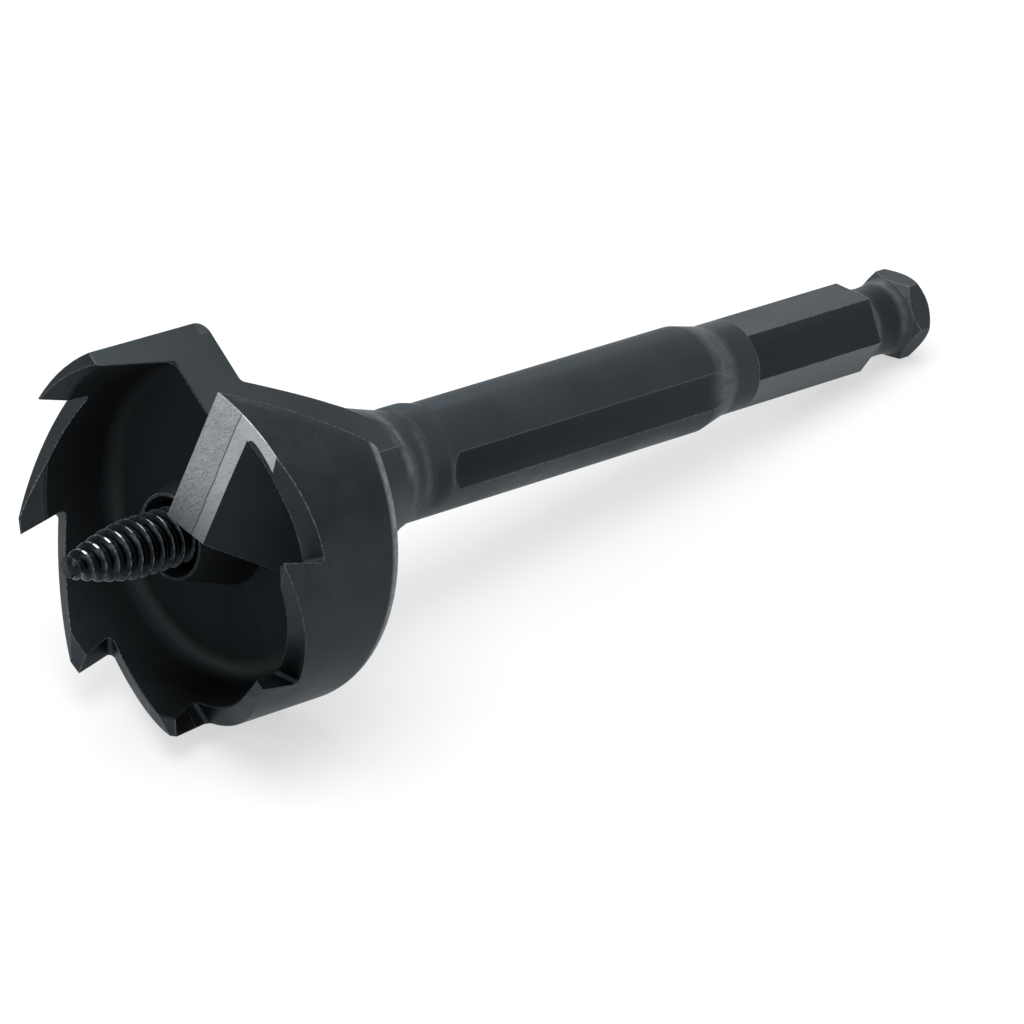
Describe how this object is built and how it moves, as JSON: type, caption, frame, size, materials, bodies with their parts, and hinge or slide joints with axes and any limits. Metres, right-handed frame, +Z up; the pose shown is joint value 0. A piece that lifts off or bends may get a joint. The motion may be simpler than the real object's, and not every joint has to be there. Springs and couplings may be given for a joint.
{
  "type": "self-feed bit",
  "caption": "Wood-boring cup cutter with a saw-toothed rim, a ground lifter blade, a chip window, a tapered feed screw and a hexagon drive shank.",
  "frame": {"origin": "on the floor under the middle of the bit's length, as it lies at rest", "axes": "+X towards the feed screw's tip, +Z up, +Y to the blade side; the bit's axis lies in the XZ plane and rises 9.06 degrees towards the head"},
  "size_m": [0.1562, 0.0508, 0.0514],
  "materials": {
    "black_oxide_steel": "satin black oxide over forged and turned steel",
    "screw_steel": "oiled black oxide over a turned thread",
    "set_screw_steel": "black oxide"
  },
  "bodies": {
    "root": {"bit_body": "black_oxide_steel", "feed_screw": "screw_steel", "set_screw": "set_screw_steel"}
  },
  "joints": []
}
